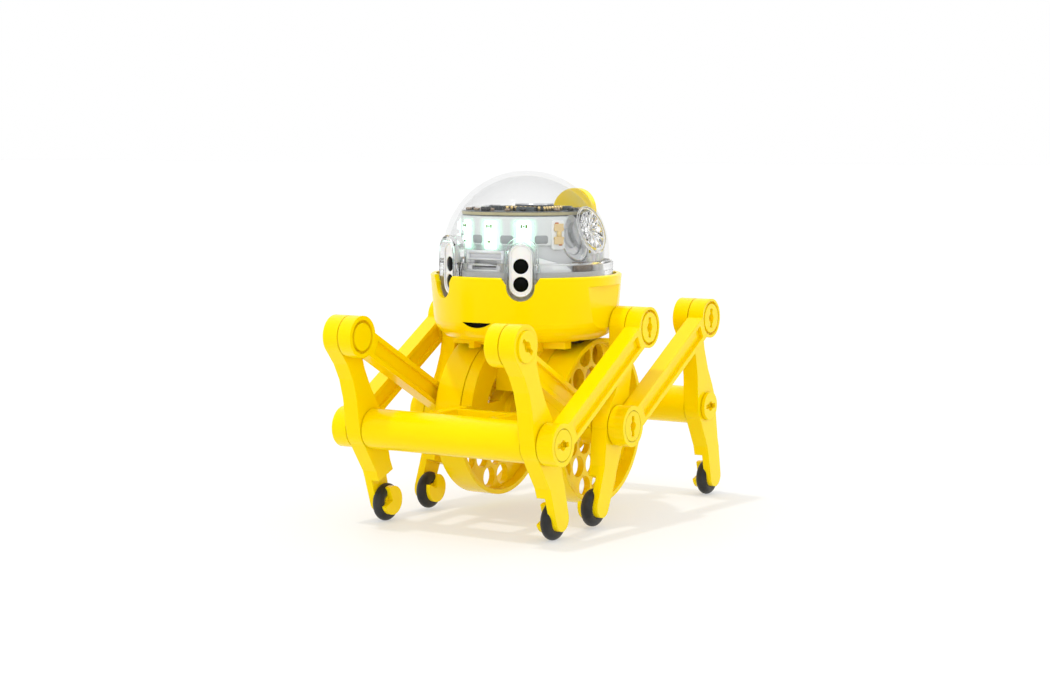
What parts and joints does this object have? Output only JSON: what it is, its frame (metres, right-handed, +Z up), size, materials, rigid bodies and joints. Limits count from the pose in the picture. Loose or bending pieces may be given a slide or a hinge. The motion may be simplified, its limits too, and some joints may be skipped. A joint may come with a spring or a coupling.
{
  "type": "hexapod spider robot",
  "caption": "Six-legged walking kit: two crank wheels swing bent legs through pivoted links, under a cradle that holds a small clear-domed robot.",
  "frame": {"origin": "on the floor, under the middle of the whole outline", "axes": "+Z up; the robot faces -Y; +X is its left side and the axis of every wheel and leg pivot runs along X"},
  "size_m": [0.0478, 0.0808, 0.0663],
  "materials": {
    "yellow_plastic": "glossy injection-moulded ABS",
    "black_rubber": "satin black rubber",
    "gloss_black": "gloss black",
    "clear_plastic": "clear polycarbonate, polished",
    "white_plastic": "gloss white",
    "grey_plastic": "satin light grey",
    "band_film": "white flexible circuit film",
    "circuit_board": "dark solder mask with chips",
    "led_glow": "lit light-emitting diode, white-green",
    "bare_metal": "brushed steel",
    "dark_plastic": "satin dark plastic",
    "steel": "drawn steel rod"
  },
  "bodies": {
    "root": {"chassis_frame": "yellow_plastic", "front_crossbar": "yellow_plastic", "rear_crossbar": "yellow_plastic", "cradle_cup": "yellow_plastic", "mouth_inlay": "gloss_black", "tail_tab": "yellow_plastic", "wheel_axle": "steel", "axle_caps": "yellow_plastic", "front_bar_rivets": "yellow_plastic", "rear_bar_rivets": "yellow_plastic"},
    "robot": {"robot_base": "white_plastic", "robot_skirt": "clear_plastic", "robot_dome": "clear_plastic", "robot_deck": "grey_plastic", "eye_bezels": "white_plastic", "eye_lenses": "gloss_black", "top_board": "circuit_board", "led_band": "band_film", "led_lights": "led_glow", "main_board": "circuit_board", "battery_cell": "bare_metal", "drive_motors": "bare_metal", "usb_socket": "bare_metal"},
    "power_button": {"power_button": "clear_plastic"},
    "wheel_left": {"drive_wheel_left": "yellow_plastic", "crank_rivet_left": "yellow_plastic"},
    "front_leg_left": {"front_leg_left": "yellow_plastic", "front_ring_left": "black_rubber", "front_top_rivet_left": "yellow_plastic"},
    "middle_link_left": {"middle_link_left": "yellow_plastic"},
    "rear_leg_left": {"rear_leg_left": "yellow_plastic", "rear_ring_left": "black_rubber", "rear_top_rivet_left": "yellow_plastic"},
    "front_link_left": {"front_link_left": "yellow_plastic"},
    "middle_leg_left": {"middle_leg_left": "yellow_plastic", "middle_ring_left": "black_rubber", "middle_top_rivet_left": "yellow_plastic"},
    "rear_link_left": {"rear_link_left": "yellow_plastic"},
    "robot_wheel_left": {"robot_hub_left": "dark_plastic", "robot_tyre_left": "black_rubber"},
    "wheel_right": {"drive_wheel_right": "yellow_plastic", "crank_rivet_right": "yellow_plastic"},
    "front_leg_right": {"front_leg_right": "yellow_plastic", "front_ring_right": "black_rubber", "front_top_rivet_right": "yellow_plastic"},
    "middle_link_right": {"middle_link_right": "yellow_plastic"},
    "rear_leg_right": {"rear_leg_right": "yellow_plastic", "rear_ring_right": "black_rubber", "rear_top_rivet_right": "yellow_plastic"},
    "front_link_right": {"front_link_right": "yellow_plastic"},
    "middle_leg_right": {"middle_leg_right": "yellow_plastic", "middle_ring_right": "black_rubber", "middle_top_rivet_right": "yellow_plastic"},
    "rear_link_right": {"rear_link_right": "yellow_plastic"},
    "robot_wheel_right": {"robot_hub_right": "dark_plastic", "robot_tyre_right": "black_rubber"}
  },
  "joints": [
    {"name": "robot_lift", "type": "slide", "parent": "root", "child": "robot", "axis": [0, 0, 1], "range_m": [0, 0.03]},
    {"name": "button_press", "type": "slide", "parent": "robot", "child": "power_button", "axis": [-0.9455, 0, -0.3256], "range_m": [0, 0.0005], "stiffness_N_per_m": 1500},
    {"name": "wheel_left_turn", "type": "hinge", "parent": "root", "child": "wheel_left", "pos_m": [-0.011, 0.00141, 0.01874], "axis": [1, 0, 0], "range_deg": [-20, 20]},
    {"name": "front_leg_left_swing", "type": "hinge", "parent": "root", "child": "front_leg_left", "pos_m": [-0.0189, -0.02969, 0.01874], "axis": [1, 0, 0], "range_deg": [-5, 5]},
    {"name": "middle_link_left_swing", "type": "hinge", "parent": "root", "child": "middle_link_left", "pos_m": [-0.0223, -0.02969, 0.01874], "axis": [1, 0, 0], "range_deg": [-6, 6]},
    {"name": "rear_leg_left_swing", "type": "hinge", "parent": "root", "child": "rear_leg_left", "pos_m": [-0.0189, 0.03251, 0.01874], "axis": [1, 0, 0], "range_deg": [-4, 4]},
    {"name": "front_link_left_swing", "type": "hinge", "parent": "wheel_left", "child": "front_link_left", "pos_m": [-0.0157, -0.00447, 0.01915], "axis": [1, 0, 0], "range_deg": [-25, 25]},
    {"name": "middle_leg_left_swing", "type": "hinge", "parent": "wheel_left", "child": "middle_leg_left", "pos_m": [-0.0189, -0.00447, 0.01915], "axis": [1, 0, 0], "range_deg": [-26, 26]},
    {"name": "rear_link_left_swing", "type": "hinge", "parent": "wheel_left", "child": "rear_link_left", "pos_m": [-0.0223, -0.00447, 0.01915], "axis": [1, 0, 0], "range_deg": [-18, 18]},
    {"name": "robot_wheel_left_spin", "type": "hinge", "parent": "robot", "child": "robot_wheel_left", "pos_m": [-0.011, -0.00359, 0.03763], "axis": [1, 0, 0], "range_deg": [-90, 90]},
    {"name": "wheel_right_turn", "type": "hinge", "parent": "root", "child": "wheel_right", "pos_m": [0.011, 0.00141, 0.01874], "axis": [1, 0, 0], "range_deg": [-20, 20]},
    {"name": "front_leg_right_swing", "type": "hinge", "parent": "root", "child": "front_leg_right", "pos_m": [0.0189, -0.02969, 0.01874], "axis": [1, 0, 0], "range_deg": [-5, 5]},
    {"name": "middle_link_right_swing", "type": "hinge", "parent": "root", "child": "middle_link_right", "pos_m": [0.0223, -0.02969, 0.01874], "axis": [1, 0, 0], "range_deg": [-6, 6]},
    {"name": "rear_leg_right_swing", "type": "hinge", "parent": "root", "child": "rear_leg_right", "pos_m": [0.0189, 0.03251, 0.01874], "axis": [1, 0, 0], "range_deg": [-4, 4]},
    {"name": "front_link_right_swing", "type": "hinge", "parent": "wheel_right", "child": "front_link_right", "pos_m": [0.0157, -0.00447, 0.01915], "axis": [1, 0, 0], "range_deg": [-25, 25]},
    {"name": "middle_leg_right_swing", "type": "hinge", "parent": "wheel_right", "child": "middle_leg_right", "pos_m": [0.0189, -0.00447, 0.01915], "axis": [1, 0, 0], "range_deg": [-26, 26]},
    {"name": "rear_link_right_swing", "type": "hinge", "parent": "wheel_right", "child": "rear_link_right", "pos_m": [0.0223, -0.00447, 0.01915], "axis": [1, 0, 0], "range_deg": [-18, 18]},
    {"name": "robot_wheel_right_spin", "type": "hinge", "parent": "robot", "child": "robot_wheel_right", "pos_m": [0.011, -0.00359, 0.03763], "axis": [1, 0, 0], "range_deg": [-90, 90]}
  ],
  "couplings": [
    {"joint": "front_leg_left_swing", "follows": "wheel_left_turn", "ratio": -0.1902},
    {"joint": "middle_link_left_swing", "follows": "wheel_left_turn", "ratio": -0.2319},
    {"joint": "rear_leg_left_swing", "follows": "wheel_left_turn", "ratio": 0.1734},
    {"joint": "front_link_left_swing", "follows": "wheel_left_turn", "ratio": -1.2176},
    {"joint": "middle_leg_left_swing", "follows": "wheel_left_turn", "ratio": -1.2593},
    {"joint": "rear_link_left_swing", "follows": "wheel_left_turn", "ratio": -0.8454},
    {"joint": "robot_wheel_left_spin", "follows": "wheel_left_turn", "ratio": -4.4167},
    {"joint": "front_leg_right_swing", "follows": "wheel_right_turn", "ratio": -0.1902},
    {"joint": "middle_link_right_swing", "follows": "wheel_right_turn", "ratio": -0.2319},
    {"joint": "rear_leg_right_swing", "follows": "wheel_right_turn", "ratio": 0.1734},
    {"joint": "front_link_right_swing", "follows": "wheel_right_turn", "ratio": -1.2176},
    {"joint": "middle_leg_right_swing", "follows": "wheel_right_turn", "ratio": -1.2593},
    {"joint": "rear_link_right_swing", "follows": "wheel_right_turn", "ratio": -0.8454},
    {"joint": "robot_wheel_right_spin", "follows": "wheel_right_turn", "ratio": -4.4167}
  ]
}
